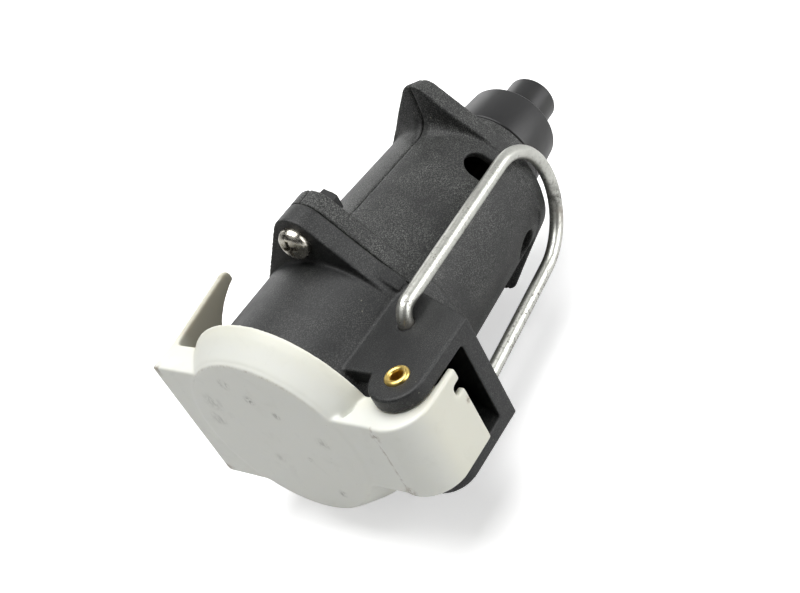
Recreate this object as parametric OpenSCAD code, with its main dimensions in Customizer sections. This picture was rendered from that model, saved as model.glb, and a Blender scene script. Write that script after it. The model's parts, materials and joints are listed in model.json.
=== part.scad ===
// Seven-pole trailer wiring plug with a sprung hinged lid and a wire locking bail.
// Frame: the origin is the centre of the mating mouth, +X runs rearward along the barrel to the
// cable boot, -Y is the hinge side, +Y is the latch side and +Z points to the upper flange lug.

/* [Front shell] */
// Outer radius of the front barrel
barrel_r = 28; // [27:0.5:30]
// Radius of the mating bore
mouth_r = 25; // [24.5:0.1:25.2]
// Where the flange of the front shell starts
flange_x = 30; // [28:0.5:31]
// Parting plane between the front and rear shells
parting_x = 36.5; // [36:0.1:37]
// Radius of the round part of both flanges
flange_r = 28.1; // [28.1:0.1:29.5]
// Height of the flange screws above the barrel axis
lug_z = 34.7; // [34:0.1:36]
// Radius of the flange lugs
lug_r = 7.1; // [6.5:0.1:7.5]

/* [Hinge block] */
// Lid pin, along X
pin_x = 6.2; // [6:0.1:7]
// Lid pin, below the barrel axis
pin_drop = 39.6; // [39:0.1:41]
// Radius of the round nose of each ear
ear_nose_r = 7.7; // [7:0.1:8]
// Outer face of the ears
ear_z = 16.75; // [16:0.05:17.5]
// Thickness of each ear
ear_t = 4.15; // [3.5:0.05:4.5]
// Bail pivot, along X
bail_x = 22.6; // [22:0.1:23.5]
// Bail pivot, below the barrel axis
bail_drop = 31.6; // [31:0.1:32.5]

/* [Rear shells] */
// Rear face of the rear flange
rear_flange_x = 42.2; // [41.5:0.1:43]
// Barrel radius behind the flange
rear_r0 = 27.3; // [27:0.1:27.6]
// Barrel radius at the rear end
rear_r1 = 24.5; // [24:0.1:25]
// Rear end of the barrel
rear_end_x = 96.5; // [95:0.5:98]
// Wall thickness of the rear shells
rear_wall = 2.6; // [2.2:0.1:3]
// Front face of the tail fins
fin_x = 90.5; // [90:0.1:92]
// Thickness of the tail fins
fin_t = 5.7; // [4:0.1:5.9]
// Height of the round tip of a fin
fin_z = 34.2; // [33:0.1:37]
// Rear end of the collar that carries the boot
collar_end_x = 106.5; // [105:0.1:108]
// Gap on each side of the seam between the halves
seam_gap = 0.08; // [0.05:0.01:0.12]
// Radius of the round tip of a fin
fin_tip_r = 3.8; // [1.5:0.1:4.5]
// Radius of the hollow fillet in front of a fin
fin_blend_r = 6; // [5:0.5:9]

/* [Lid] */
// Front face of the lid
lid_front_x = -6.6; // [-7:0.1:-6]
// Radius of the flat front disc
lid_disc_r = 26.9; // [26:0.1:28]
// Radius of the skirt at its shoulder
lid_mid_r = 31.1; // [30.8:0.1:31.5]
// Radius of the skirt at its rim
lid_rim_r = 32.5; // [32:0.1:33]
// Rear edge of the skirt
lid_rim_x = 2.7; // [2:0.1:3]
// Half width of the latch wing
wing_z = 21; // [20:0.1:22]
// Outer face of the latch arm
latch_y = 34.5; // [34:0.1:35]
// Rear end of the latch arm
latch_tip_x = 28.5; // [26:0.5:30]
// Half width of the latch arm at its rear end
latch_tip_z = 24.2; // [23:0.1:25]
// Radius of the round cut between the two latch horns
latch_cut_r = 21.3; // [20.8:0.1:21.6]
// Half width of the hinge wing, between the ears
hinge_wing_z = 12.1; // [11.8:0.1:12.3]
// Outer face of the hinge arm
hinge_arm_y = -48.9; // [-49.2:0.1:-48.6]
// Rear end of the hinge arm
hinge_arm_x = 14.8; // [14:0.1:15]

/* [Bail] */
// Radius of the bail wire
wire_r = 2; // [1.8:0.05:2]
// Half width of the bail at its pivots
bail_half_z = 20.5; // [20:0.1:21]
// From the pivot to the centre of the bend
bail_reach = 57.4; // [56:0.1:59]
// Tilt of the bail towards the barrel at rest, in degrees
bail_tilt = 4.3; // [4:0.1:5]

/* [Boot and cable] */
// Radius of the boot at its front edge
boot_r0 = 16; // [15.8:0.1:16.4]
// Radius of the boot at its shoulder
boot_r1 = 14.5; // [14:0.1:15]
// Where the shoulder of the boot ends
boot_shoulder_x = 121.9; // [120:0.1:123]
// Radius of the tail tube
tail_r = 8.1; // [7.5:0.1:8.5]
// Rear end of the tail tube
tail_end_x = 136.8; // [134:0.1:138]
// Radius of the cable passage
cable_r = 5.5; // [4.5:0.1:5.5]

/* [Contacts] */
// Radius of the insert boss that carries the contacts
boss_r = 16.5; // [16.4:0.05:16.6]
// Pitch circle radius of the five signal contacts
signal_pitch_r = 12.5; // [12.4:0.05:12.6]
// Half the spacing of the two power contacts
power_z = 5; // [4.9:0.05:5.1]

/* [Hidden] */
$fn = 96;
eps = 0.01;
big = 200;

// Stations inside the shells
bore_step_x = 10.5;
bore_deep_r = mouth_r - 0.4;
ledge_x = 28.5;
ledge_r = 22.5;
seat_x = 31.5;
seat_r = 25.4;
insert_flange_x = 32.4;
insert_front_x = 10.6;
insert_rear_x = 58;
contact_front_x = 12.6;
collar_x = 54;
contact_rear_x = 68;
retainer_end_x = 61;
cavity_x = 39.5;
end_wall_x = 93.5;
collar_r = 16.4;
collar_bore_r = 13.1;
rear_slope = (rear_r0 - rear_r1) / (rear_end_x - rear_flange_x);

// Hinge geometry
ear_in_z = ear_z - ear_t;
ear_out_y = -pin_drop - ear_nose_r;
wall_front_x = 21.3;
wall_t = 5.5;
block_root_x = 35.8;
block_root_y = -24;
rivet_r = 2.3;
rivet_bore_r = 1.6;
rivet_head_r = 3.3;

// Lid geometry
lid_t = 2.2;
lid_front_t = 2.4;
hinge_corner_r = 10;
knuckle_r = 5.4;
knuckle_t = 2.3;
latch_cut_x = 34;
notch_z = [5.7, 8.5];
notch_depth = 3.2;

// Windows near the rear end, a pair in the hinge-side half
window_x = 82.5;
window_r = 4.1;
window_angles = [-40, 30.5];
window_half = 1.2;

// Fasteners
flange_screw_r = 2.45;
flange_hole_r = 2.7;
flange_head_r = 4.7;
flange_head_h = 3.1;
nut_h = 4;
nut_flats = 7;
clamp_x = 80;
clamp_w = 8;
clamp_half_z = 16;
clamp_gap = 0.6;
clamp_h = 6.5;
clamp_screw_z = 11.5;
clamp_screw_r = 1.45;

// Bail: inner end of the wire, corner radius, taper of each leg, bend radius and straight length
bail_end_z = ear_in_z + 0.4;
bail_corner_r = 4;
bail_taper = 2;
bail_bend_r = (bail_half_z - bail_corner_r + bail_corner_r / cos(bail_taper)
    - (bail_reach - bail_corner_r) * tan(bail_taper)) * cos(bail_taper);
bail_leg = (bail_reach - bail_corner_r + (bail_bend_r - bail_corner_r) * sin(bail_taper))
    / cos(bail_taper);

function rear_radius(x) = rear_r0 - rear_slope * (x - rear_flange_x);

// Turns a shape drawn along Z so that it runs along X from x = 0.
module along_x() {
    rotate([0, 90, 0]) children();
}

module tube_x(x0, x1, outer_r, inner_r) {
    translate([x0, 0, 0]) along_x() difference() {
        cylinder(h = x1 - x0, r = outer_r);
        translate([0, 0, -eps]) cylinder(h = x1 - x0 + 2 * eps, r = inner_r);
    }
}

module rod_x(x0, x1, r) {
    translate([x0, 0, 0]) along_x() cylinder(h = x1 - x0, r = r);
}

// Solid of revolution about the X axis from [x, r] points.
module turned_x(points) {
    along_x() rotate_extrude() polygon([for (p = points) [p[1], p[0]]]);
}

// Flat outline across the axis, drawn as [z, y] and placed from x0 to x1.
module plate_x(x0, x1) {
    translate([x0, 0, 0]) rotate([0, 90, 0]) rotate([0, 0, 180]) linear_extrude(x1 - x0) children();
}

// Outline with a round body and two opposite lugs joined by their tangents.
module two_lug_outline(body_r, lug_radius, reach) {
    a = asin((body_r - lug_radius) / reach);
    r0 = body_r - 0.01;
    r1 = lug_radius - 0.01;
    union() {
        circle(body_r);
        for (s = [-1, 1]) translate([s * reach, 0]) circle(lug_radius);
        polygon([
            [-r0 * sin(a), r0 * cos(a)], [r0 * sin(a), r0 * cos(a)],
            [reach + r1 * sin(a), r1 * cos(a)], [reach + r1 * sin(a), -r1 * cos(a)],
            [r0 * sin(a), -r0 * cos(a)], [-r0 * sin(a), -r0 * cos(a)],
            [-reach - r1 * sin(a), -r1 * cos(a)], [-reach - r1 * sin(a), r1 * cos(a)]
        ]);
    }
}

module at_lugs() {
    for (s = [-1, 1]) translate([0, 0, s * lug_z]) children();
}

// ---------------------------------------------------------------- front shell

module ear_outline() {
    translate([pin_x, -pin_drop]) circle(ear_nose_r);
    polygon([
        [pin_x - 0.3, -pin_drop], [pin_x - 0.3, -20], [block_root_x, -20],
        [block_root_x, block_root_y], [wall_front_x + wall_t, ear_out_y], [pin_x, ear_out_y]
    ]);
}

module block_wall_outline() {
    polygon([
        [wall_front_x, ear_out_y], [wall_front_x + wall_t, ear_out_y],
        [block_root_x, block_root_y], [block_root_x, -20], [block_root_x - wall_t, -20],
        [block_root_x - wall_t, block_root_y]
    ]);
}

module hinge_block() {
    for (s = [0, 1]) mirror([0, 0, s]) translate([0, 0, ear_in_z]) linear_extrude(ear_t) ear_outline();
    translate([0, 0, -ear_in_z]) linear_extrude(2 * ear_in_z) block_wall_outline();
}

// Small moulded index pad where the flange meets the hinge block.
module index_pad() {
    for (s = [-1, 1]) rotate([s * 45, 0, 0])
        translate([parting_x - 4.2, -flange_r - 0.75, -4]) cube([4.2, 3, 8]);
}

module front_shell() {
    color("#2b2d2c") difference() {
        union() {
            rod_x(0, parting_x, barrel_r);
            plate_x(flange_x, parting_x) two_lug_outline(flange_r, lug_r, lug_z);
            hinge_block();
            index_pad();
        }
        rod_x(-eps, bore_step_x, mouth_r);
        rod_x(0, ledge_x, bore_deep_r);
        rod_x(0, parting_x, ledge_r);
        rod_x(seat_x, parting_x + eps, seat_r);
        at_lugs() rod_x(flange_x - 1, parting_x + 1, flange_hole_r);
        translate([pin_x, -pin_drop, -big / 2]) cylinder(h = big, r = rivet_r + 0.02);
        translate([bail_x, -bail_drop, -big / 2]) cylinder(h = big, r = wire_r + 0.08);
    }
}

// ---------------------------------------------------------------- rear shells

// Grip plate with a hollow fillet on its front side, so it flares out of the barrel.
module tail_fins() {
    root_r = rear_radius(fin_x - fin_blend_r) - 0.3;
    intersection() {
        plate_x(fin_x - fin_blend_r - 1, fin_x + fin_t)
            two_lug_outline(rear_r1 - 0.7, fin_tip_r, fin_z);
        union() {
            rod_x(fin_x, fin_x + fin_t, 60);
            difference() {
                rod_x(fin_x - fin_blend_r, fin_x + 0.5, root_r + fin_blend_r);
                translate([fin_x - fin_blend_r, 0, 0]) along_x() rotate_extrude()
                    translate([root_r + fin_blend_r, 0]) circle(fin_blend_r);
            }
        }
    }
}

module rear_body(windows) {
    difference() {
        union() {
            plate_x(parting_x, rear_flange_x) two_lug_outline(flange_r, lug_r, lug_z);
            turned_x([[rear_flange_x - 1, 0], [rear_flange_x - 1, rear_r0], [rear_flange_x, rear_r0],
                [rear_end_x - 2, rear_r1 + 0.1], [rear_end_x, rear_r1 - 0.9], [rear_end_x, 0]]);
            tail_fins();
            rod_x(rear_end_x - 1, collar_end_x, collar_r);
        }
        rod_x(parting_x - 1, cavity_x + 1, boss_r + 0.5);
        turned_x([[cavity_x, 0], [cavity_x, rear_radius(cavity_x) - rear_wall],
            [end_wall_x, rear_radius(end_wall_x) - rear_wall], [end_wall_x, 0]]);
        rod_x(cavity_x, collar_end_x + 1, collar_bore_r);
        at_lugs() rod_x(parting_x - 1, rear_flange_x + 1, flange_hole_r);
        if (windows) for (a = window_angles) window_cut(a);
    }
}

// Slot with round ends through the wall, turned about the axis from the -Y side.
module window_cut(angle) {
    rotate([angle, 0, 0]) translate([window_x, -40, 0]) {
        for (e = [-1, 1]) translate([0, 0, e * window_half]) rotate([-90, 0, 0])
            cylinder(h = 24, r = window_r);
        translate([0.02 - window_r, 0, -window_half])
            cube([2 * window_r - 0.04, 24, 2 * window_half]);
    }
}

module half_space(side) {
    translate([-big, side > 0 ? seam_gap : -big - seam_gap, -big]) cube([2 * big, big, 2 * big]);
}

module rear_shell_hinge_side() {
    color("#3a3c3b") intersection() {
        rear_body(true);
        half_space(-1);
    }
}

module clamp_pillars() {
    for (s = [-1, 1]) translate([clamp_x, clamp_h + 0.1, s * clamp_screw_z]) rotate([-90, 0, 0])
        difference() {
            cylinder(h = 13.5, r = 3.4);
            translate([0, 0, -eps]) cylinder(h = 10, r = clamp_screw_r + 0.05);
        }
}

module rear_shell_latch_side() {
    color("#3a3c3b") union() {
        intersection() {
            rear_body(false);
            half_space(1);
        }
        clamp_pillars();
    }
}

// ---------------------------------------------------------------- contacts and insert

module at_signal_contacts() {
    for (i = [0:4]) rotate([72 * i, 0, 0]) translate([0, signal_pitch_r, 0]) children();
}

module at_power_contacts() {
    for (s = [-1, 1]) translate([0, 0, s * power_z]) children();
}

// Cavity for one contact: an entry in the face, a guide and a wider pocket for the collar.
module contact_cavity(entry_r, body_r, pocket_r) {
    rod_x(insert_front_x - 1, contact_front_x, entry_r);
    rod_x(contact_front_x - eps, insert_rear_x, body_r);
    rod_x(collar_x, insert_rear_x + 1, pocket_r);
}

// Turned socket contact: a bored front tube, a collar and a crimp barrel.
module socket_contact(body_r, bore_r, collar_radius, crimp_r) {
    difference() {
        union() {
            rod_x(contact_front_x + 0.1, collar_x + 0.2, body_r);
            rod_x(collar_x + 0.1, insert_rear_x - 0.1, collar_radius);
            rod_x(insert_rear_x - 0.2, contact_rear_x, crimp_r);
        }
        rod_x(contact_front_x, contact_front_x + 30, bore_r);
        rod_x(contact_rear_x - 7, contact_rear_x + 1, crimp_r - 0.7);
    }
}

module contact_insert() {
    color("#5b5d60") difference() {
        union() {
            rod_x(insert_front_x, insert_rear_x, boss_r);
            rod_x(insert_flange_x, parting_x - 0.1, seat_r - 0.2);
        }
        at_signal_contacts() contact_cavity(1.6, 2.25, 3.0);
        at_power_contacts() contact_cavity(2.4, 3.25, 4.05);
    }
}

module contact_retainer() {
    color("#b4552a") difference() {
        rod_x(insert_rear_x + 0.05, retainer_end_x, boss_r);
        at_signal_contacts() rod_x(insert_rear_x - 1, retainer_end_x + 1, 2.3);
        at_power_contacts() rod_x(insert_rear_x - 1, retainer_end_x + 1, 3.3);
    }
}

module power_contacts() {
    color("#c9a54a") at_power_contacts() socket_contact(3.2, 2, 4, 2.8);
}

module signal_contacts() {
    color("#c9a54a") at_signal_contacts() socket_contact(2.2, 1.25, 2.95, 1.9);
}

module insert_gasket() {
    color("#1c1c1c") tube_x(seat_x + 0.02, insert_flange_x - 0.02, seat_r - 0.2, ledge_r + 0.2);
}

module mating_seal() {
    color("#1c1c1c") tube_x(seat_x - 3, insert_flange_x - 0.05, ledge_r - 0.3, boss_r + 0.2);
}

// ---------------------------------------------------------------- fasteners

module screw_head(r, h) {
    // Low domed head with a rim, along -X from x = 0, with a cross recess.
    difference() {
        turned_x([[0, 0], [0, r], [-0.35 * h, r], [-0.65 * h, 0.9 * r], [-0.87 * h, 0.68 * r],
            [-0.97 * h, 0.36 * r], [-h, 0]]);
        for (a = [0, 90]) rotate([a, 0, 0]) translate([-h - 1, -0.12 * r, -0.5 * r])
            cube([1 + 0.6 * h, 0.24 * r, r]);
    }
}

module flange_screws() {
    color("#d6d2c4") at_lugs() translate([flange_x, 0, 0]) {
        screw_head(flange_head_r, flange_head_h);
        rod_x(-eps, rear_flange_x - flange_x + nut_h + 0.8, flange_screw_r);
    }
}

module flange_nuts() {
    color("#232323") at_lugs() translate([rear_flange_x + 0.02, 0, 0]) along_x() difference() {
        cylinder(h = nut_h, r = nut_flats / sqrt(3), $fn = 6);
        translate([0, 0, -1]) cylinder(h = nut_h + 2, r = flange_screw_r + 0.03);
    }
}

module clamp_bar(side) {
    difference() {
        translate([clamp_x - clamp_w / 2, side > 0 ? clamp_gap : -clamp_h, -clamp_half_z])
            cube([clamp_w, clamp_h - clamp_gap, 2 * clamp_half_z]);
        rod_x(clamp_x - clamp_w, clamp_x + clamp_w, cable_r);
        for (s = [-1, 1]) translate([clamp_x, 0, s * clamp_screw_z]) rotate([90, 0, 0])
            cylinder(h = 40, r = clamp_screw_r + 0.15, center = true);
    }
}

module cable_clamp_lower() {
    color("#8a8d8f") clamp_bar(-1);
}

module cable_clamp_upper() {
    color("#8a8d8f") clamp_bar(1);
}

module clamp_screws() {
    color("#c8c8c4") for (s = [-1, 1])
        translate([clamp_x, -clamp_h, s * clamp_screw_z]) rotate([0, 0, 90]) {
            screw_head(2.8, 2);
            rod_x(-eps, 20, clamp_screw_r);
        }
}

// ---------------------------------------------------------------- boot

module cable_boot() {
    groove_x = end_wall_x - 0.1;
    neck_r = collar_bore_r - 0.15;
    outer_x = collar_end_x + 0.1;
    color("#26272a") turned_x([
        [groove_x - 4, cable_r], [groove_x - 4, neck_r], [groove_x - 3, neck_r + 2],
        [groove_x, neck_r + 2], [groove_x, neck_r], [outer_x, neck_r], [outer_x, boot_r0 - 0.6],
        [outer_x + 0.6, boot_r0], [boot_shoulder_x, boot_r1], [boot_shoulder_x + 0.8, boot_r1 - 0.8],
        [boot_shoulder_x + 1, tail_r + 2.2], [boot_shoulder_x + 1.7, tail_r + 0.8],
        [boot_shoulder_x + 3.4, tail_r], [tail_end_x - 0.6, tail_r - 0.2],
        [tail_end_x, tail_r - 0.8], [tail_end_x, cable_r]
    ]);
}

// ---------------------------------------------------------------- lid

// Points along an arc in the drawing plane.
function arc(centre, r, from, to, n) = [
    for (i = [0:n]) let (t = from + (to - from) * i / n) centre + r * [cos(t), sin(t)]
];

// Wall of the hinge wing: the front plate, the round corner and the arm behind it.
module hinge_wing_plate() {
    fx = lid_front_x;
    centre = [fx + hinge_corner_r, hinge_arm_y + hinge_corner_r];
    linear_extrude(2 * hinge_wing_z, center = true) polygon(concat(
        [[fx, -20]],
        arc(centre, hinge_corner_r, 180, 270, 20),
        [[hinge_arm_x, hinge_arm_y], [hinge_arm_x, hinge_arm_y + lid_t]],
        arc(centre, hinge_corner_r - lid_t, 270, 180, 20),
        [[fx + lid_t, -20]]
    ));
}

// Side walls of the hinge wing, which carry the pin.
module knuckles() {
    for (s = [0, 1]) mirror([0, 0, s]) translate([0, 0, hinge_wing_z - knuckle_t])
        linear_extrude(knuckle_t) {
            translate([pin_x, -pin_drop]) circle(knuckle_r);
            polygon([
                [lid_front_x + 1, -27], [lid_rim_x, -30.5], [pin_x + 2.5, -pin_drop + 3],
                [pin_x + 2.5, -pin_drop - 3], [hinge_arm_x - 6, hinge_arm_y + 1],
                [lid_front_x + hinge_corner_r, hinge_arm_y + 1],
                [lid_front_x + 0.3 * hinge_corner_r, hinge_arm_y + 0.4 * hinge_corner_r],
                [lid_front_x + 1, hinge_arm_y + hinge_corner_r]
            ]);
        }
}

module lid_disc() {
    turned_x([[lid_front_x, 0], [lid_front_x, lid_disc_r], [0, lid_mid_r], [lid_rim_x, lid_rim_r],
        [lid_rim_x, lid_rim_r - 1.4], [0, lid_mid_r - 1.8],
        [lid_front_x + lid_front_t + 0.05, lid_disc_r - 0.6], [-2.6, lid_disc_r - 0.6],
        [-2.6, lid_disc_r - 2.6], [lid_front_x + lid_front_t, lid_disc_r - 2.6],
        [lid_front_x + lid_front_t, 0]]);
}

// Box-like wing on the latch side, open towards the barrel, without its end arm.
module latch_wing() {
    difference() {
        translate([lid_front_x, 0, -wing_z])
            cube([lid_rim_x - lid_front_x, latch_y, 2 * wing_z]);
        translate([lid_front_x + lid_front_t, -1, -wing_z + lid_t])
            cube([big, latch_y + 1 - lid_t, 2 * (wing_z - lid_t)]);
        turned_x([[lid_front_x - 1, 0], [lid_front_x - 1, lid_disc_r - 1.5], [0, lid_mid_r - 0.9],
            [lid_rim_x + 1, lid_rim_r - 0.1], [lid_rim_x + 1, 0]]);
    }
}

// Arm behind the wing, with a round cut that leaves two horns.
module latch_arm() {
    tip_r = 2;
    flare = atan((latch_tip_z - wing_z) / (latch_tip_x - lid_rim_x));
    z_cut = sqrt(latch_cut_r * latch_cut_r - (latch_cut_x - latch_tip_x) * (latch_cut_x - latch_tip_x));
    a_cut = asin(z_cut / latch_cut_r);
    translate([0, latch_y, 0]) rotate([90, 0, 0]) linear_extrude(lid_t)
        polygon(concat(
            [[lid_rim_x - 1, wing_z - 0.02], [lid_rim_x - 1, 0.02 - wing_z]],
            arc([latch_tip_x - tip_r, tip_r - latch_tip_z], tip_r, -90 - flare, 0, 8),
            arc([latch_cut_x, 0], latch_cut_r, 180 + a_cut, 180 - a_cut, 48),
            arc([latch_tip_x - tip_r, latch_tip_z - tip_r], tip_r, 0, 90 + flare, 8)
        ));
}

module lid() {
    color("#e9eae4") difference() {
        union() {
            lid_disc();
            latch_wing();
            latch_arm();
            hinge_wing_plate();
            knuckles();
        }
        translate([pin_x, -pin_drop, -big / 2]) cylinder(h = big, r = rivet_r + 0.1);
        translate([hinge_arm_x - notch_depth, hinge_arm_y - 1, notch_z[0]])
            cube([10, 5, notch_z[1] - notch_z[0]]);
    }
}

module lid_gasket() {
    color("#1c1c1c") tube_x(-2.58, -0.1, 27.4, 24.4);
}

// ---------------------------------------------------------------- hinge hardware

module hinge_rivet() {
    rim_r = (rivet_head_r - rivet_bore_r) / 2;
    color("#d2a63c") translate([pin_x, -pin_drop, 0]) rotate_extrude() {
        translate([rivet_bore_r, -ear_z]) square([rivet_r - rivet_bore_r, 2 * ear_z]);
        for (s = [0, 1]) mirror([0, s]) translate([rivet_bore_r + rim_r, ear_z]) intersection() {
            circle(rim_r, $fn = 48);
            translate([-2, 0]) square([4, 2]);
        }
    }
}

module lid_spring() {
    coil_r = 3.5;
    spring_wire_r = 0.6;
    half = 7;
    color("#b9bbbd") union() {
        translate([pin_x, -pin_drop, -half]) difference() {
            cylinder(h = 2 * half, r = coil_r + spring_wire_r);
            translate([0, 0, -1]) cylinder(h = 2 * half + 2, r = coil_r - spring_wire_r);
        }
        translate([pin_x, -pin_drop + coil_r, half - 1]) rotate([0, 90, 0])
            cylinder(h = 12, r = spring_wire_r);
        translate([pin_x, -pin_drop + coil_r, 1 - half]) rotate([0, -90, 0])
            cylinder(h = 9, r = spring_wire_r);
    }
}

// Wire bail: two inward ends, two slightly converging legs and a round bend.
module bail() {
    color("#cfd1d0") translate([bail_x, -bail_drop, 0]) rotate([0, 0, bail_tilt]) union() {
        for (turn = [0, 180]) rotate([turn, 0, 0]) {
            translate([0, 0, bail_end_z]) rotate([0, 0, 40])
                cylinder(h = bail_half_z - bail_corner_r - bail_end_z, r = wire_r);
            translate([bail_corner_r, 0, bail_half_z - bail_corner_r]) {
                rotate([90, 0, 0]) rotate([0, 0, 90 - bail_taper])
                    rotate_extrude(angle = 90 + bail_taper, $fn = 64)
                    translate([bail_corner_r, 0]) circle(wire_r, $fn = 48);
                rotate([0, bail_taper, 0]) translate([0, 0, bail_corner_r]) along_x()
                    rotate([0, 0, 40]) cylinder(h = bail_leg, r = wire_r);
            }
        }
        translate([bail_reach, 0, 0]) rotate([90, 0, 0]) rotate([0, 0, bail_taper - 90])
            rotate_extrude(angle = 180 - 2 * bail_taper, $fn = 96)
            translate([bail_bend_r, 0]) circle(wire_r, $fn = 48);
    }
}

front_shell();
rear_shell_hinge_side();
rear_shell_latch_side();
contact_insert();
contact_retainer();
power_contacts();
signal_contacts();
insert_gasket();
mating_seal();
flange_screws();
flange_nuts();
cable_boot();
cable_clamp_lower();
cable_clamp_upper();
clamp_screws();
lid();
lid_gasket();
hinge_rivet();
lid_spring();
bail();
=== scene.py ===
import bmesh
import bpy
import json
import math
from mathutils import Matrix, Vector

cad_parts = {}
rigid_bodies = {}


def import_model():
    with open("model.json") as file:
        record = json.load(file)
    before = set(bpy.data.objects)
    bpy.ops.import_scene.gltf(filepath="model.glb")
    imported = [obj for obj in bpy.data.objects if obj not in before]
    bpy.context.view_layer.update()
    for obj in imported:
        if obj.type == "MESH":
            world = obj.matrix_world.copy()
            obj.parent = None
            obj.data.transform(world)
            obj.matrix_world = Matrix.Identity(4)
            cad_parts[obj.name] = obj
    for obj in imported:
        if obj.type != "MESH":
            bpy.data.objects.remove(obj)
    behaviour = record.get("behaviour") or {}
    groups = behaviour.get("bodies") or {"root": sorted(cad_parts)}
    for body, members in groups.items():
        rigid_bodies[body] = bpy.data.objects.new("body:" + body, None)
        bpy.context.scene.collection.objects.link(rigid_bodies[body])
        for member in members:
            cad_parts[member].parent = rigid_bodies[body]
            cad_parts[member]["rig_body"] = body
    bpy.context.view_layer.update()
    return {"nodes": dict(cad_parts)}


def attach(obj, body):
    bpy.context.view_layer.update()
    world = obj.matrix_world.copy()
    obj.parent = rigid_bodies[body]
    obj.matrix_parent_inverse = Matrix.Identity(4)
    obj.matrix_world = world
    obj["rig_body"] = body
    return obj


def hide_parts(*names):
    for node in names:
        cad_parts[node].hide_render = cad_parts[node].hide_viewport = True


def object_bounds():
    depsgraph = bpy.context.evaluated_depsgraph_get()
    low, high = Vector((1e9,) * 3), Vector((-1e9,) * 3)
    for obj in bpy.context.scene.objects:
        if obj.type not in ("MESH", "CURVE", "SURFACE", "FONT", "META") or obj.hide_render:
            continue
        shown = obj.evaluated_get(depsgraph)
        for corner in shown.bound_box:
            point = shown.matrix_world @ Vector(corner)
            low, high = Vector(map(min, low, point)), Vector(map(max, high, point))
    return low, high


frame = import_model()
NODES = frame["nodes"]
MM = 0.001


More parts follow.
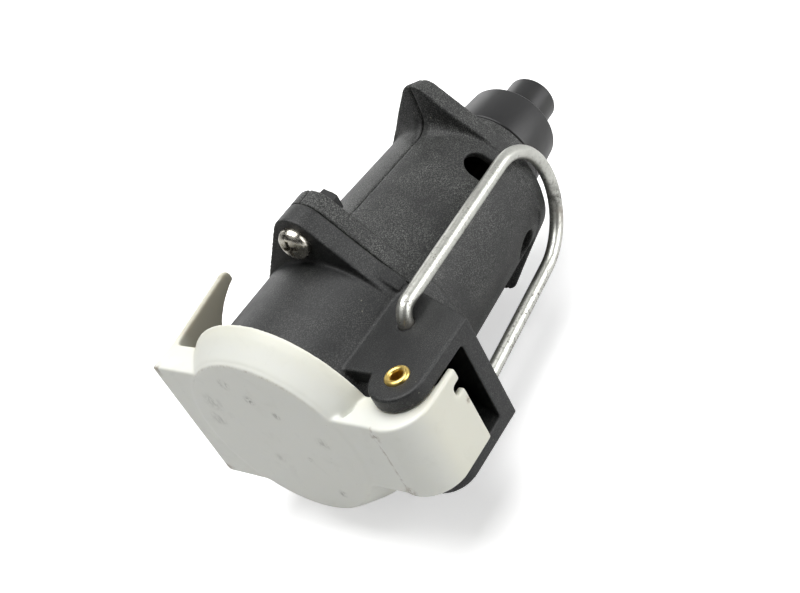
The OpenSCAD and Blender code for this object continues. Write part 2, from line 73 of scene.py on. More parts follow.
# ------------------------------------------------------------------ shader helpers
class Mat:
    """A procedural material: node helpers that return sockets."""

    def __init__(self, name):
        self.m = bpy.data.materials.new(name)
        self.m.use_nodes = True
        self.t = self.m.node_tree
        self.t.nodes.clear()
        self.out = self.t.nodes.new("ShaderNodeOutputMaterial")
        self.b = self.t.nodes.new("ShaderNodeBsdfPrincipled")
        self.t.links.new(self.b.outputs[0], self.out.inputs[0])
        self.c = self.t.nodes.new("ShaderNodeTexCoord").outputs["Object"]

    def put(self, socket, value):
        if isinstance(value, bpy.types.NodeSocket):
            self.t.links.new(value, socket)
        else:
            if hasattr(socket.default_value, "__len__") and not hasattr(value, "__len__"):
                value = [value] * len(socket.default_value)
            if hasattr(value, "__len__") and len(value) == 3 and len(socket.default_value) == 4:
                value = list(value) + [1.0]
            socket.default_value = value

    def noise(self, scale, detail=3.0, rough=0.5, warp=0.0, vec=None):
        n = self.t.nodes.new("ShaderNodeTexNoise")
        self.put(n.inputs["Vector"], vec or self.c)
        n.inputs["Scale"].default_value = scale
        n.inputs["Detail"].default_value = detail
        n.inputs["Roughness"].default_value = rough
        n.inputs["Distortion"].default_value = warp
        return n.outputs[0]

    def cells(self, scale):
        n = self.t.nodes.new("ShaderNodeTexVoronoi")
        self.put(n.inputs["Vector"], self.c)
        n.inputs["Scale"].default_value = scale
        return n.outputs["Distance"]

    def ramp(self, fac, *stops):
        n = self.t.nodes.new("ShaderNodeValToRGB")
        e = n.color_ramp.elements
        while len(e) < len(stops):
            e.new(0.5)
        for k, (p, v) in enumerate(stops):
            e[k].position = p
            e[k].color = (v, v, v, 1)
        self.t.links.new(fac, n.inputs[0])
        return n.outputs[0]

    def math(self, op, a, b=0.0, clamp=False):
        n = self.t.nodes.new("ShaderNodeMath")
        n.operation = op
        n.use_clamp = clamp
        self.put(n.inputs[0], a)
        self.put(n.inputs[1], b)
        return n.outputs[0]

    def mix(self, fac, a, b, kind="MIX"):
        n = self.t.nodes.new("ShaderNodeMix")
        n.data_type = "RGBA"
        n.blend_type = kind
        self.put(n.inputs[0], fac)
        self.put(n.inputs[6], a)
        self.put(n.inputs[7], b)
        return n.outputs[2]

    def stretch(self, sx, sy, sz):
        n = self.t.nodes.new("ShaderNodeMapping")
        self.put(n.inputs[0], self.c)
        n.inputs["Scale"].default_value = (sx, sy, sz)
        return n.outputs[0]

    def near(self, point, radius, soft=0.5):
        """1 inside a blob round a point (mm), falling to 0 at the radius."""
        n = self.t.nodes.new("ShaderNodeMapping")
        n.vector_type = "POINT"
        self.put(n.inputs[0], self.c)
        n.inputs["Location"].default_value = [-p * MM for p in point]
        v = self.t.nodes.new("ShaderNodeVectorMath")
        v.operation = "LENGTH"
        self.put(v.inputs[0], n.outputs[0])
        r = self.t.nodes.new("ShaderNodeMapRange")
        r.interpolation_type = "SMOOTHSTEP"
        self.put(r.inputs[0], v.outputs["Value"])
        r.inputs[1].default_value = radius * MM
        r.inputs[2].default_value = radius * MM * (1 - soft)
        return r.outputs[0]

    def axis(self, k):
        n = self.t.nodes.new("ShaderNodeSeparateXYZ")
        self.put(n.inputs[0], self.c)
        return n.outputs[k]

    def span(self, value, a, b, lo=0.0, hi=1.0):
        """Smooth step from lo, where the value is a, to hi, where it is b."""
        r = self.t.nodes.new("ShaderNodeMapRange")
        r.interpolation_type = "SMOOTHSTEP"
        self.put(r.inputs[0], value)
        r.inputs[1].default_value = a
        r.inputs[2].default_value = b
        r.inputs[3].default_value = lo
        r.inputs[4].default_value = hi
        return r.outputs[0]

    def edges(self, a, b):
        """0 where the surface is hollow, 1 where it is a convex edge."""
        n = self.t.nodes.new("ShaderNodeNewGeometry")
        return self.ramp(n.outputs["Pointiness"], (a, 0.0), (b, 1.0))

    def bump(self, height, dist, after=None):
        n = self.t.nodes.new("ShaderNodeBump")
        n.inputs["Strength"].default_value = 1.0
        n.inputs["Distance"].default_value = dist * MM
        self.put(n.inputs["Height"], height)
        if after is not None:
            self.t.links.new(after, n.inputs["Normal"])
        return n.outputs[0]

    def done(self, colour, rough, metal=0.0, normal=None, **sockets):
        self.put(self.b.inputs["Base Color"], colour)
        self.put(self.b.inputs["Roughness"], rough)
        self.put(self.b.inputs["Metallic"], metal)
        if normal is not None:
            self.t.links.new(normal, self.b.inputs["Normal"])
        for k, v in sockets.items():
            self.put(self.b.inputs[k.replace("_", " ")], v)
        return self.m


# ------------------------------------------------------------------ materials
def shell_material(name, tone, grain, grain_depth, rough, glint_strength, chips_and_highlight=()):
    """Moulded black nylon: grain with pale specks painted in as its glint highlights, rub marks, dust,
    edges that are rubbed and also carry a painted highlight, and painted shade in its hollows.
    """
    k = Mat(name)
    cloud = k.noise(60, 4, 0.55)
    base = k.mix(cloud, [c * 0.78 for c in tone], [c * 1.18 for c in tone])
    patch = k.ramp(k.noise(90, 4, 0.65), (0.34, 0.3), (0.62, 1.0))
    # Pale specks painted into the colour as the highlights that the grain glints with
    speck = k.ramp(k.noise(1.4 * grain, 2, 0.75), (0.50, 0.0), (0.60, 1.0))
    painted_glints = k.math("MULTIPLY", k.math("MULTIPLY", speck, patch), glint_strength)
    base = k.mix(painted_glints, base, (0.115, 0.118, 0.110))
    rub = k.ramp(k.noise(240, 7, 0.7, 0.6), (0.60, 0.0), (0.80, 1.0))
    base = k.mix(k.math("MULTIPLY", rub, 0.14), base, (0.12, 0.118, 0.105))
    dust = k.math("MULTIPLY", k.ramp(k.cells(420), (0.05, 1.0), (0.11, 0.0)),
                  k.ramp(k.noise(80, 2), (0.56, 0.0), (0.64, 0.55)))
    base = k.mix(dust, base, (0.26, 0.25, 0.20))
    broken = k.ramp(k.noise(420, 5, 0.7), (0.40, 0.05), (0.62, 1.0))
    # Convex edges lighter: partly rubbed wear, partly a painted highlight along the edges
    worn_and_highlit = k.math("MULTIPLY", k.edges(0.53, 0.62), broken)
    base = k.mix(k.math("MULTIPLY", worn_and_highlit, 0.55), base, (0.12, 0.12, 0.11))
    # Listed marks: chipped spots, one of them with a painted highlight
    for point, radius, colour in chips_and_highlight:
        outline = k.ramp(k.noise(900, 4, 0.7), (0.42, 0.0), (0.50, 1.0))
        ragged = k.math("MULTIPLY", k.near(point, radius), outline)
        base = k.mix(ragged, base, colour)
    # Painted shade: the hollows are darkened almost to black
    hollow = k.math("SUBTRACT", 1.0, k.edges(0.42, 0.485))
    base = k.mix(k.math("MULTIPLY", hollow, 0.8), base, (0.004, 0.004, 0.004))
    gloss = k.math("ADD", k.math("MULTIPLY", k.noise(200, 4, 0.6), 0.16), rough - 0.08)
    gloss = k.math("ADD", gloss, k.math("MULTIPLY", hollow, 0.35))
    n = k.bump(k.noise(grain, 3, 0.75), grain_depth)
    n = k.bump(k.noise(260, 2), 0.02, after=n)
    return k.done(base, gloss, 0.0, n, Specular_IOR_Level=0.40)


# Lid, in mm: where its face folds towards the hinge, and the radius of its raised disc
FOLD_Y = -37.2
DISC_R = 26.6
SCUFF_DEPTH = 0.85
# Grey scuffs on the lid's face: place (mm), radius (mm), strength
SCUFFS = [((-6.6, 7.0, 19.4), 2.6, 0.8), ((-6.6, 1.0, 14.7), 2.3, 0.9), ((-6.6, -5.5, 10.2), 1.9, 0.8),
          ((-6.6, 17.0, 11.0), 4.5, 0.45), ((-6.6, 20.0, 4.0), 3.5, 0.5), ((-6.6, -16.8, 2.4), 3.0, 0.5),
          ((-6.6, -7.5, -5.9), 1.5, 0.6), ((-6.6, -11.3, -18.4), 2.0, 0.9), ((-6.6, 4.8, -8.0), 2.5, 0.4)]
# Brown dirt in the lid's corners: place (mm), radius (mm)
STAINS = [((-6.4, 33.6, 20.2), 3.2), ((-6.4, 33.6, -20.2), 3.8), ((-6.4, -37.4, 9.0), 2.2),
          ((-6.4, -37.6, -10.5), 3.0), ((14.0, -49.0, 2.5), 1.6), ((25.5, 33.5, 23.6), 1.8)]


def lid_material():
    """Ivory moulded lid: cloudy, scuffed on its face, dirty in corners, with painted shade on the inner
    face of its hinge horn, and yellower behind its face as a painted warm tint of the light from above.
    """
    k = Mat("lid_plastic")
    base = k.mix(k.noise(40, 4), (0.72, 0.73, 0.675), (0.76, 0.765, 0.71))
    streak = k.ramp(k.noise(620, 6, 0.72, 0.8, vec=k.stretch(1, 1.4, 0.8)), (0.43, 0.0), (0.56, 1.0))
    scuffed = 0.0
    for point, radius, strength in SCUFFS:
        mark = k.math("MULTIPLY", k.near(point, radius, 0.9), SCUFF_DEPTH * strength)
        scuffed = k.math("MAXIMUM", scuffed, mark)
    base = k.mix(k.math("MULTIPLY", streak, scuffed), base, (0.24, 0.24, 0.20))
    haze = k.ramp(k.noise(130, 6, 0.66, 0.6), (0.55, 0.0), (0.85, 0.28))
    base = k.mix(haze, base, (0.50, 0.50, 0.45))
    broken = k.ramp(k.noise(700, 6, 0.75), (0.44, 0.0), (0.60, 1.0))
    brown = 0.0
    for point, radius in STAINS:
        brown = k.math("MAXIMUM", brown, k.near(point, radius, 0.95))
    x, y, z = (k.axis(j) for j in range(3))
    front = k.span(x, -5.2 * MM, -6.0 * MM)
    fold = k.span(k.math("ABSOLUTE", k.math("SUBTRACT", y, FOLD_Y * MM)), 0.75 * MM, 0.1 * MM)
    brown = k.math("MAXIMUM", brown, k.math("MULTIPLY", k.math("MULTIPLY", fold, front), 0.65))
    off_axis = k.math("SQRT", k.math("ADD", k.math("MULTIPLY", y, y), k.math("MULTIPLY", z, z)))
    rim = k.span(k.math("ABSOLUTE", k.math("SUBTRACT", off_axis, DISC_R * MM)), 0.5 * MM, 0.05 * MM)
    ends = k.span(k.math("ABSOLUTE", z), 12 * MM, 24 * MM, 0.0, 0.32)
    brown = k.math("MAXIMUM", brown, k.math("MULTIPLY", k.math("MULTIPLY", rim, front), ends))
    base = k.mix(k.math("MULTIPLY", brown, broken), base, (0.20, 0.145, 0.085))
    speck = k.math("MULTIPLY", k.ramp(k.cells(600), (0.03, 1.0), (0.10, 0.0)),
                   k.ramp(k.noise(210, 2), (0.62, 0.0), (0.72, 0.6)))
    base = k.mix(speck, base, (0.16, 0.14, 0.10))
    # Painted shade on the inner face of the lid's hinge horn, growing towards +X
    arm_shade = k.math("MULTIPLY", k.span(y, 31.5 * MM, 32.2 * MM), k.span(y, 33.6 * MM, 32.8 * MM))
    arm_shade = k.math("MULTIPLY", arm_shade, k.span(x, 2 * MM, 8 * MM, 0.0, 0.75))
    base = k.mix(arm_shade, base, (0.44, 0.415, 0.34))
    # Painted warm tint of the light from above: everything behind the face is made yellower
    warm_light_tint = k.span(x, -3.5 * MM, 3.0 * MM)
    base = k.mix(warm_light_tint, base, (1.0, 0.985, 0.925), "MULTIPLY")
    n = k.bump(k.noise(420, 3), 0.012)
    return k.done(base, k.math("ADD", k.math("MULTIPLY", haze, 0.5), 0.36), 0.0, n,
                  Subsurface_Weight=0.12, Subsurface_Radius=(0.003, 0.0026, 0.0018),
                  Subsurface_Scale=1.0)


def metal_material(name, tone, rough, spots, spot_tone, scale=420, stains_and_shade=(), dents=0.02):
    """Plated or bare metal: cloudy reflections, dark pits, and stain marks and painted shade
    given as (place, radius, colour, strength)."""
    k = Mat(name)
    cloud = k.noise(scale * 0.45, 5, 0.65, 0.4)
    base = k.mix(cloud, [c * 0.72 for c in tone], [min(1, c * 1.15) for c in tone])
    pits = k.ramp(k.noise(scale * 2.6, 5, 0.75), (0.52, 0.0), (0.68, 1.0))
    patch = k.ramp(k.noise(scale * 0.3, 3), (0.40, 0.15), (0.62, 1.0))
    spotted = k.math("MULTIPLY", k.math("MULTIPLY", pits, patch), spots)
    base = k.mix(spotted, base, spot_tone)
    metal = k.math("SUBTRACT", 1.0, k.math("MULTIPLY", spotted, 0.6))
    for point, radius, colour, strength in stains_and_shade:
        ragged = k.ramp(k.noise(500, 6, 0.75), (0.40, 0.0), (0.56, 1.0))
        area = k.math("MULTIPLY", k.near(point, radius, 0.9), ragged)
        area = k.math("MULTIPLY", area, strength)
        base = k.mix(area, base, colour)
        metal = k.math("SUBTRACT", metal, k.math("MULTIPLY", area, 0.75), clamp=True)
    r = k.math("ADD", k.math("MULTIPLY", k.noise(scale, 5, 0.7), 0.22), rough - 0.11)
    r = k.math("ADD", r, k.math("MULTIPLY", spotted, 0.3))
    n = k.bump(k.noise(scale * 1.7, 5, 0.7), dents)
    return k.done(base, r, metal, n)


def rubber_material(name, tone, rough, tint):
    """Smooth soft rubber with a faint bloom, and pale edges that are partly wear and partly a painted
    highlight.
    """
    k = Mat(name)
    base = k.mix(k.noise(70, 4), [c * 0.85 for c in tone], [c * 1.2 for c in tone])
    bloom = k.ramp(k.noise(48, 3, 0.5, 0.5), (0.48, 0.0), (0.72, 0.7))
    base = k.mix(bloom, base, tint)
    # Convex edges paler: partly wear, partly a painted highlight
    worn_and_highlit = k.math("MULTIPLY", k.edges(0.54, 0.64), 0.6)
    base = k.mix(worn_and_highlit, base, (0.08, 0.08, 0.072))
    r = k.math("ADD", k.math("MULTIPLY", k.noise(150, 4), 0.14), rough - 0.07)
    return k.done(base, r, 0.0, k.bump(k.noise(1500, 3, 0.6), 0.012), Specular_IOR_Level=0.45)


def moulding_material(name, tone, rough):
    """Plain moulded plastic of the inside parts: flow clouds, fine texture, dust specks."""
    k = Mat(name)
    base = k.mix(k.noise(90, 5, 0.6), [c * 0.82 for c in tone], [min(1, c * 1.15) for c in tone])
    dust = k.math("MULTIPLY", k.ramp(k.cells(700), (0.04, 1.0), (0.10, 0.0)), 0.5)
    base = k.mix(dust, base, [0.5 * c + 0.15 for c in tone])
    r = k.math("ADD", k.math("MULTIPLY", k.noise(260, 4), 0.16), rough - 0.08)
    return k.done(base, r, 0.0, k.bump(k.noise(1300, 3, 0.7), 0.03))


# Colours of the stain marks on metal, and of the painted shade in the screws' recesses
RUST = (0.16, 0.085, 0.04)
SOOT = (0.03, 0.026, 0.022)
RECESS_SHADE = (0.035, 0.028, 0.02)
MATERIALS = {
    "front": shell_material("shell_nylon_smooth", (0.008, 0.0085, 0.009), 2300, 0.035, 0.47, 0.42,
                            [((36.0, -24.0, 12.0), 1.2, (0.22, 0.21, 0.18))]),
    "rear": shell_material("shell_nylon_grained", (0.0075, 0.008, 0.008), 2200, 0.11, 0.48, 1.0,
                           # The first is a pale mark at the window's edge: a chip, with the edge's
                           # highlight painted in
                           [((79.5, -23.6, 13.0), 1.5, (0.35, 0.33, 0.27)),
                            ((92.0, -24.0, 3.0), 0.8, (0.4, 0.3, 0.14))]),
    "boot": rubber_material("boot_rubber", (0.012, 0.012, 0.0125), 0.36, (0.026, 0.0245, 0.018)),
    "seal": rubber_material("seal_rubber", (0.018, 0.018, 0.018), 0.62, (0.03, 0.03, 0.03)),
    "lid": lid_material(),
    "wire": metal_material("wire_steel", (0.60, 0.605, 0.56), 0.35, 1.3, (0.10, 0.09, 0.075), 420,
                           [((23.1, -31.6, 16.7), 3.6, RUST, 0.6), ((97.3, -26.0, -6.5), 6.5, SOOT, 0.9),
                            ((95.5, -26.3, -11.5), 4.0, RUST, 0.75)]),
    "zinc": metal_material("zinc_steel", (0.66, 0.63, 0.55), 0.24, 0.45, (0.10, 0.08, 0.05), 500,
                           # Painted shade in the recesses of the screw heads
                           [((27.6, 0.3, end * 34.9), 2.7, RECESS_SHADE, 0.95) for end in (-1, 1)]),
    "black": metal_material("black_steel", (0.045, 0.045, 0.045), 0.42, 0.4, (0.02, 0.02, 0.02)),
    "brass": metal_material("rivet_brass", (0.88, 0.64, 0.20), 0.30, 0.08, (0.20, 0.11, 0.03), 500,
                            dents=0.006),
    "contact": metal_material("contact_brass", (0.72, 0.56, 0.28), 0.28, 0.3, (0.22, 0.14, 0.05)),
    "spring": metal_material("spring_steel", (0.55, 0.55, 0.55), 0.30, 0.3, (0.12, 0.11, 0.10)),
    "insert": moulding_material("insert_nylon", (0.045, 0.047, 0.05), 0.45),
    "retainer": moulding_material("retainer_nylon", (0.42, 0.10, 0.035), 0.45),
}
# Which material each node wears
WEARS = {
    "front_shell": "front", "rear_shell_hinge_side": "rear", "rear_shell_latch_side": "rear",
    "contact_insert": "insert", "contact_retainer": "retainer", "power_contacts": "contact",
    "signal_contacts": "contact", "insert_gasket": "seal", "mating_seal": "seal",
    "flange_screws": "zinc", "flange_nuts": "black", "cable_boot": "boot",
    "cable_clamp_lower": "insert", "cable_clamp_upper": "insert", "clamp_screws": "zinc",
    "lid": "lid", "lid_gasket": "seal", "hinge_rivet": "brass", "lid_spring": "spring", "bail": "wire",
}


def dress(o, key):
    o.data.materials.clear()
    o.data.materials.append(MATERIALS[key])


def body_name(node):
    return NODES[node]["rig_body"]


def add(name, me, node, smooth=40):
    """Shows a mesh instead of a CAD node: it rides on the node's body and wears its material."""
    o = bpy.data.objects.new(name, me)
    bpy.context.scene.collection.objects.link(o)
    for q in me.polygons:
        q.use_smooth = True
    if smooth:
        me.set_sharp_from_angle(angle=math.radians(smooth))
    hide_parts(node)
    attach(o, body_name(node))
    dress(o, WEARS[node])
    return o


def weld(me, flat=0.0):
    """Joins a CAD mesh's triangles along their edges, and its faces where they are flat."""
    bm = bmesh.new()
    bm.from_mesh(me)
    bmesh.ops.remove_doubles(bm, verts=bm.verts, dist=2e-6)
    if flat:
        bmesh.ops.dissolve_limit(bm, angle_limit=math.radians(flat), verts=bm.verts, edges=bm.edges)
    bm.to_mesh(me)
    bm.free()


def round_edges(o, width, segments):
    m = o.modifiers.new("edges", "BEVEL")
    m.width = width * MM
    m.segments = segments
    m.limit_method = "ANGLE"
    m.angle_limit = math.radians(28)
    m.miter_outer = "MITER_ARC"
    w = o.modifiers.new("normals", "WEIGHTED_NORMAL")
    w.keep_sharp = True
    w.weight = 90


def moulded(node, voxel, rounds, shape=None):
    """A copy of a CAD node with every edge and corner soft, shown instead of it."""
    me = NODES[node].data.copy()
    weld(me)
    o = add(node + "_moulded", me, node, smooth=0)
    remesh(o, voxel, rounds, shape)


def remesh(o, voxel, rounds, shape=None):
    """Even fine mesh over a piece, relaxed so that its edges and inside corners are soft."""
    m = o.modifiers.new("remesh", "REMESH")
    m.mode = "VOXEL"
    m.voxel_size = voxel * MM
    m.use_smooth_shade = True
    bake(o)
    if shape:
        for v in o.data.vertices:
            v.co = shape(v.co / MM) * MM
    m = o.modifiers.new("relax", "SMOOTH")
    m.factor = 0.5
    m.iterations = rounds
    bake(o)
    for q in o.data.polygons:
        q.use_smooth = True


def soften(node, width, segments=3):
    """A copy of a CAD node with its sharp edges rounded, shown instead of the node."""
    me = NODES[node].data.copy()
    weld(me, flat=0.6)
    o = add(node + "_soft", me, node, smooth=0)
    round_edges(o, width, segments)


def skin(bm, rings):
    """Faces between neighbouring rings of points, and over the first and the last ring."""
    n = len(rings[0])
    for a, b in zip(rings, rings[1:]):
        for k in range(n):
            bm.faces.new((a[k], a[(k + 1) % n], b[(k + 1) % n], b[k]))
    bm.faces.new(rings[0])
    bm.faces.new(rings[-1])


def mesh_of(bm, name):
    """The finished mesh, with its faces turned outwards."""
    bmesh.ops.recalc_face_normals(bm, faces=bm.faces)
    me = bpy.data.meshes.new(name)
    bm.to_mesh(me)
    bm.free()
    return me


def turned(points, n, closed=False):
    """Mesh of revolution about the X axis from (x, r) points in mm."""
    bm = bmesh.new()
    turns = [2 * math.pi * k / n for k in range(n)]
    rings = []
    for x, r in points:
        rings.append([bm.verts.new((x * MM, r * MM * math.cos(t), r * MM * math.sin(t)))
                      for t in turns])
    pairs = list(zip(rings, rings[1:])) + ([(rings[-1], rings[0])] if closed else [])
    for a, b in pairs:
        for k in range(n):
            bm.faces.new((a[k], b[k], b[(k + 1) % n], a[(k + 1) % n]))
    return mesh_of(bm, "turned")


# Points on each rounded corner of a path
CORNER_POINTS = 6


def fillet(points, radii):
    """Rounds the corners of an open (x, r) path."""
    out = [points[0]]
    for k in range(1, len(points) - 1):
        p0, p, p1 = (Vector(points[j]) for j in (k - 1, k, k + 1))
        r = radii[k] if k < len(radii) else 0
        if not r:
            out.append(tuple(p))
            continue
        a, b = (p0 - p).normalized(), (p1 - p).normalized()
        half = a.angle(b) / 2
        if half > math.radians(89):
            out.append(tuple(p))
            continue
        d = min(r / math.tan(half), 0.48 * (p0 - p).length, 0.48 * (p1 - p).length)
        r = d * math.tan(half)
        c = p + (a + b).normalized() * (r / math.sin(half))
        u, w = p + a * d - c, p + b * d - c
        full = u.angle(w)
        for j in range(CORNER_POINTS):
            t = j / (CORNER_POINTS - 1)
            arc = u * math.sin((1 - t) * full) + w * math.sin(t * full)
            out.append(tuple(c + arc / math.sin(full)))
    out.append(points[-1])
    return out


def lobed(psi, body, lug, reach):
    """Radius of the two-lug outline at an angle from the lug's direction."""
    a = math.asin((body - lug) / reach)
    if psi < math.atan2(lug * math.cos(a), reach + lug * math.sin(a)):
        return reach * math.cos(psi) + math.sqrt(max(0, lug ** 2 - (reach * math.sin(psi)) ** 2))
    if psi < math.pi / 2 - a:
        return body / math.sin(psi + a)
    return body


# Rear shell, in mm: ends of its barrel along X and the radius at each end
FLANGE_END, BARREL_END = 42.2, 96.5
FLANGE_END_R, BARREL_END_R = 27.3, 24.5
# Its front face, a hair behind the parting plane so that the joint shows as a dark line
REAR_FRONT = 36.64
# Two-lug outline of the flange: body radius, lug radius, lug height
FLANGE_OUTLINE = (28.1, 7.1, 34.7)
# Outline of the rear fins, on their front face and on their back
FIN_FRONT, FIN_BACK = (25.2, 4.3, 34.9), (24.7, 4.6, 32.0)
WALL = 2.6
COLLAR_END = 106.5
# Windows in the hinge-side half: place along X, end radius, half the straight part, angles
WINDOW_X, WINDOW_R, WINDOW_HALF = 82.5, 4.1, 1.2
WINDOW_ANGLES = (-40, 30.5)


def rear_r(x):
    """Outer radius of the rear barrel."""
    slope = (FLANGE_END_R - BARREL_END_R) / (BARREL_END - FLANGE_END)
    return FLANGE_END_R - slope * (x - FLANGE_END)


def rear_profile(psi):
    """Outside of the rear shell, as an (x, r) path at one angle from the lug's direction."""
    fl = lobed(psi, *FLANGE_OUTLINE)
    front, back = lobed(psi, *FIN_FRONT), lobed(psi, *FIN_BACK)
    root = rear_r(90.5)
    h = front - root
    chamfer = 1.2 * min(1, max(0, (math.degrees(psi) - 55) / 25))
    face = 89.9 + 1.1 * max(0, 1 - h / 6)
    path = [(REAR_FRONT, 20.0), (REAR_FRONT, fl), (FLANGE_END, fl),
            (FLANGE_END, rear_r(FLANGE_END) - 0.02), (60.0, rear_r(60)), (face - 0.05 * h, root),
            (face, front), (BARREL_END - 0.2 - chamfer, back),
            (BARREL_END - 0.1, back - 0.8 * chamfer - 0.3), (BARREL_END, 16.5)]
    blend = min(5.0 + 5.0 * math.sin(2 * psi), 0.85 * h + 1.5)
    radii = [0, 0.35, 0.55, 0.5, 0, blend, min(0.8, 0.3 * h), 0.5, 0.3, 0]
    return path, radii


# Degrees from the lug's direction at which the profile is taken, closer together at its tip
PSI = ([0.5 * k for k in range(6)] + [3.2 + 0.8 * k for k in range(7)] + [9, 10.5, 12.5]
       + [15 + 2.5 * k for k in range(11)] + [42 + 2 * k for k in range(7)]
       + [57 + 3 * k for k in range(12)])
# Corner of the profile at the root of the fin, which also gets points on the straight before it
ROOT_CORNER = 5


def sample(path, radii):
    """The rounded path cut into a fixed number of points, so neighbouring angles line up."""
    out = [path[0]]
    for k in range(1, len(path)):
        p = path[k]
        if k == len(path) - 1 or not radii[k]:
            corner = [p] * CORNER_POINTS
        else:
            seg = fillet([path[k - 1], p, path[k + 1]], [0, radii[k], 0])[1:-1]
            corner = seg if len(seg) == CORNER_POINTS else [p] * CORNER_POINTS
        if k == ROOT_CORNER:
            a, b = Vector(out[-1]), Vector(corner[0])
            out += [tuple(a.lerp(b, t / CORNER_POINTS)) for t in range(1, CORNER_POINTS)]
        out += corner
    return out


def rear_half(side):
    """Closed solid of one rear shell half: side -1 is the hinge side."""
    angles = [math.radians(a) for a in PSI]
    angles += [math.pi - math.radians(a) for a in PSI[::-1][1:]]
    bm = bmesh.new()
    rings = []
    bore = [(x, rear_r(x) - WALL) for x in (39.5, 60, 75, 90, 93.5)]
    inside = [(36.52, 17.4), (39.3, 17.4)] + bore
    inside += [(93.5, 13.15), (BARREL_END, 13.1), (COLLAR_END, 13.1), (COLLAR_END, 16.0),
               (COLLAR_END - 0.4, 16.4), (98, 16.4), (97.0, 16.5), (BARREL_END, 17.2)]
    for ang in angles:
        psi = min(ang, math.pi - ang)
        pts = sample(*rear_profile(psi)) + inside[::-1]
        ring = []
        for x, r in pts:
            y, z = r * math.sin(ang), r * math.cos(ang)
            y = max(y, 0.08)
            ring.append(bm.verts.new((x * MM, side * y * MM, z * MM)))
        rings.append(ring)
    skin(bm, rings)
    bmesh.ops.remove_doubles(bm, verts=bm.verts, dist=1e-7)
    bmesh.ops.triangulate(bm, faces=[f for f in bm.faces if len(f.verts) > 4])
    return mesh_of(bm, "rear_half")


def bake(o):
    """Turns a piece's modifiers into its mesh."""
    bpy.context.view_layer.update()
    me = bpy.data.meshes.new_from_object(o.evaluated_get(bpy.context.evaluated_depsgraph_get()))
    o.modifiers.clear()
    o.data = me


def cut(o, cutters):
    """Cuts solids out of a piece and removes them."""
    for c in cutters:
        m = o.modifiers.new("cut", "BOOLEAN")
        m.operation = "DIFFERENCE"
        m.object = c
        m.solver = "EXACT"
    bake(o)
    for c in cutters:
        bpy.data.objects.remove(c)


def slot_cutter(angle):
    """A round-ended slot across the barrel wall, a little flared at the outside."""
    bm = bmesh.new()
    rings = []
    steps = 48
    wall = rear_r(WINDOW_X)
    for depth, grow in ((14, 0), (wall - 0.5, 0.0), (wall - 0.1, 0.18), (30, 0.6)):
        ring = []
        for k in range(steps):
            t = 2 * math.pi * k / steps
            u = (WINDOW_R + grow) * math.cos(t)
            v = (WINDOW_R + grow) * math.sin(t) + (WINDOW_HALF if math.sin(t) > 0 else -WINDOW_HALF)
            ring.append(bm.verts.new(((WINDOW_X + u) * MM, -depth * MM, v * MM)))
        rings.append(ring)
    skin(bm, rings)
    me = mesh_of(bm, "slot")
    me.transform(Matrix.Rotation(math.radians(angle), 4, "X"))
    o = bpy.data.objects.new("slot", me)
    bpy.context.scene.collection.objects.link(o)
    return o


# ------------------------------------------------------------------ pieces
for name, o in NODES.items():
    dress(o, WEARS[name])
    for p in o.data.polygons:
        p.use_smooth = True
    o.data.set_sharp_from_angle(angle=math.radians(32))


def lid_shape(p):
    """The wings' front plates lie a little behind the disc."""
    if p.x < -5.6 and math.hypot(p.y, p.z) > DISC_R + 0.5 and p.y > FOLD_Y + 0.1:
        return Vector((p.x + 0.35, p.y, p.z))
    return p


moulded("front_shell", 0.4, 3)
moulded("lid", 0.36, 22, lid_shape)
soften("flange_nuts", 0.6)
soften("flange_screws", 0.12, 2)

o = add("rear_half_hinge_side", rear_half(-1), "rear_shell_hinge_side")
cut(o, [slot_cutter(a) for a in WINDOW_ANGLES])
remesh(o, 0.4, 4)
o = add("rear_half_latch_side", rear_half(1), "rear_shell_latch_side")
remesh(o, 0.4, 4)

# Lid pin, in mm, and half the width over the ears
PIN = Vector((6.2, -39.6, 0))
EAR_Z = 16.75


def ring_path(bore, shank, rim, half):
    """Half section of a tube rivet with both ends rolled over, as a closed (along, r) path."""
    mid, r = (bore + rim) / 2, (rim - bore) / 2
    end = [(half + 0.95 * r * math.sin(math.radians(t)), mid - r * math.cos(math.radians(t)))
           for t in range(0, 181, 15)]
    end += [(half + 0.02, rim - 0.1), (half - 0.02, shank + 0.1), (half - 0.3, shank)]
    return end + [(-a, b) for a, b in end[::-1]]


me = turned(ring_path(1.6, 2.3, 3.3, EAR_Z), 96, closed=True)
me.transform(Matrix.Translation(PIN * MM) @ Matrix.Rotation(math.radians(-90), 4, "Y"))
add("eyelet", me, "hinge_rivet", smooth=50)

# Section of the boot as (x, r), and the rounding of each corner
boot_path = [(92.4, 5.5), (92.4, 12.95), (93.4, 14.95), (96.4, 14.95), (96.4, 12.95), (106.6, 12.95),
             (106.6, 15.4), (107.2, 16.0), (121.9, 14.5), (122.7, 13.7), (122.9, 10.3), (123.6, 8.9),
             (125.3, 8.1), (136.2, 7.9), (136.8, 7.3), (136.8, 5.5)]
boot_soft = [0, 0.4, 0.5, 0.5, 0.3, 0.3, 0.4, 0.5, 0.6, 0.5, 0.6, 1.2, 2.0, 0.4, 0.4, 0]
me = turned(fillet(boot_path, boot_soft) + [(92.4, 5.5)], 160)
add("boot", me, "cable_boot", smooth=60)


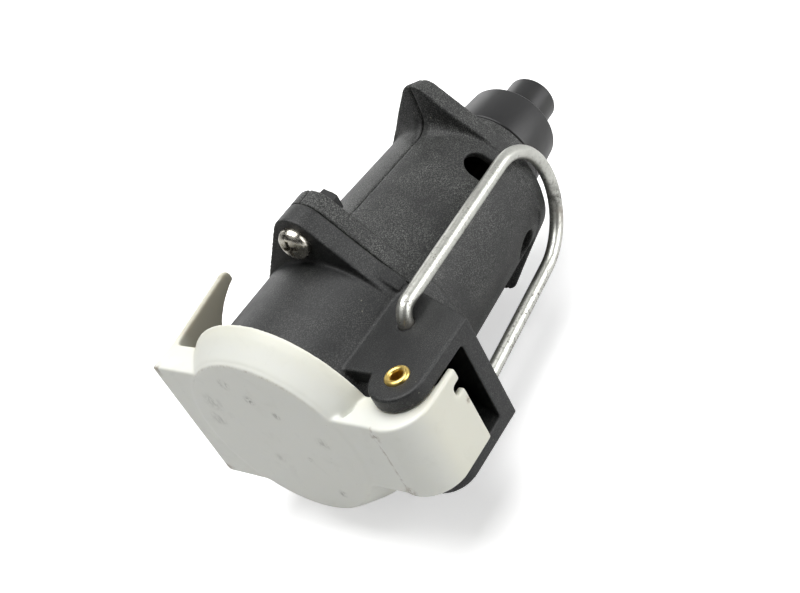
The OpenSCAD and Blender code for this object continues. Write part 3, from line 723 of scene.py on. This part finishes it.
def coil_mesh(turns, coil_r, wire_r, half):
    """Torsion spring round the pin: a helix with a straight leg from each end. The rear leg is
    short enough for the lid's plate to pass it at full opening."""
    per_turn, sides = 36, 12
    steps = turns * per_turn
    rear_leg, front_leg = 5.4, -9.0
    end = half - 0.8
    line = [Vector((rear_leg, coil_r, end))]
    for k in range(steps + 1):
        t = 2 * math.pi * k / per_turn
        line.append(Vector((coil_r * math.sin(t), coil_r * math.cos(t), end - 2 * end * k / steps)))
    line.append(Vector((front_leg, coil_r, -end)))
    bm = bmesh.new()
    rings = []
    for k, p in enumerate(line):
        ahead = (line[min(k + 1, len(line) - 1)] - line[max(k - 1, 0)]).normalized()
        across = ahead.cross(Vector((0, 0, 1))).normalized()
        over = across.cross(ahead)
        rings.append([bm.verts.new((PIN + p + (across * math.cos(2 * math.pi * j / sides)
                                               + over * math.sin(2 * math.pi * j / sides)) * wire_r) * MM)
                      for j in range(sides)])
    skin(bm, rings)
    return mesh_of(bm, "coil")


add("torsion_spring", coil_mesh(9, 3.5, 0.6, 7), "lid_spring", smooth=50)

# ------------------------------------------------------------------ stage, light, camera
floor_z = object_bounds()[0].z
# Where the lamps point, and how far off they stand, in m
TARGET = Vector((0.04, 0, 0))
LAMP_DISTANCE = 0.9


def ground(name, height, tone, glow):
    """A wide sheet of white paper."""
    bpy.ops.mesh.primitive_plane_add(size=6, location=(TARGET.x, 0, height))
    o = bpy.context.object
    o.name = name
    k = Mat(name + "_paper")
    paper = k.mix(k.noise(3, 3), (tone - 0.01,) * 3, (tone + 0.01,) * 3)
    o.data.materials.append(k.done(paper, 0.9, Emission_Color=(1.0, 1.0, 1.0), Emission_Strength=glow))
    return o


# The sheet that is seen is brighter than the one that throws light back on the object
seen = ground("floor", floor_z, 0.9, 0.47)
seen.visible_diffuse = False
seen.visible_glossy = False
seen.visible_transmission = False
seen.visible_shadow = False
ground("floor_bounce", floor_z - 0.1 * MM, 0.72, 0.0).visible_camera = False

# The camera's place (m) and its turn, as an axis times an angle
CAMERA_PLACE = (-0.12513, -0.21720, 0.18566)
camera_turn = Vector((1.79477885, -1.21844972, 0.0961266416))
rot = Matrix.Rotation(camera_turn.length, 3, camera_turn.normalized())
# The turn's camera looks along +Z with Y down; Blender's looks along -Z with Y up
basis = Matrix((rot[0], -rot[1], -rot[2])).transposed()
cam = bpy.data.objects.new("camera", bpy.data.cameras.new("camera"))
bpy.context.scene.collection.objects.link(cam)
cam.matrix_world = Matrix.Translation(CAMERA_PLACE) @ basis.to_4x4()
cam.data.sensor_width = 36
cam.data.lens = 54.33
cam.data.clip_start = 0.01
bpy.context.scene.camera = cam

world = bpy.data.worlds.new("studio")
bpy.context.scene.world = world
world.use_nodes = True
world.node_tree.nodes["Background"].inputs[0].default_value = (1, 1, 1, 1)
world.node_tree.nodes["Background"].inputs[1].default_value = 0.02
bpy.context.scene.view_settings.view_transform = "Standard"


def softbox(name, direction, power, size=0.9):
    """A square lamp that looks at the object from a direction."""
    place = TARGET + Vector(direction).normalized() * LAMP_DISTANCE
    d = bpy.data.lights.new(name, "AREA")
    d.size = size
    d.energy = power
    o = bpy.data.objects.new(name, d)
    bpy.context.scene.collection.objects.link(o)
    o.location = place
    o.rotation_euler = (TARGET - place).to_track_quat("-Z", "Y").to_euler()
    return o


softbox("above", (0.05, 0, 1), 12.4)
softbox("above_lid", (-1, 0, 1), 1.0)
softbox("hinge_side", (0.45, -1, 0.2), 5.0)
softbox("latch_side", (0, 1, 0.25), 0.8)
softbox("boot_side", (1, 0, 0.25), 2.0)

# Cards that only show up as reflections: a light edge on the black barrel, streaks on the wire
for name, direction, power in (("card_left", (0.6, 0.8, 0.2), 2.8),
                               ("card_right", (0.5, -0.8, 0.1), 4.5)):
    softbox(name, direction, power, 0.7).visible_diffuse = False
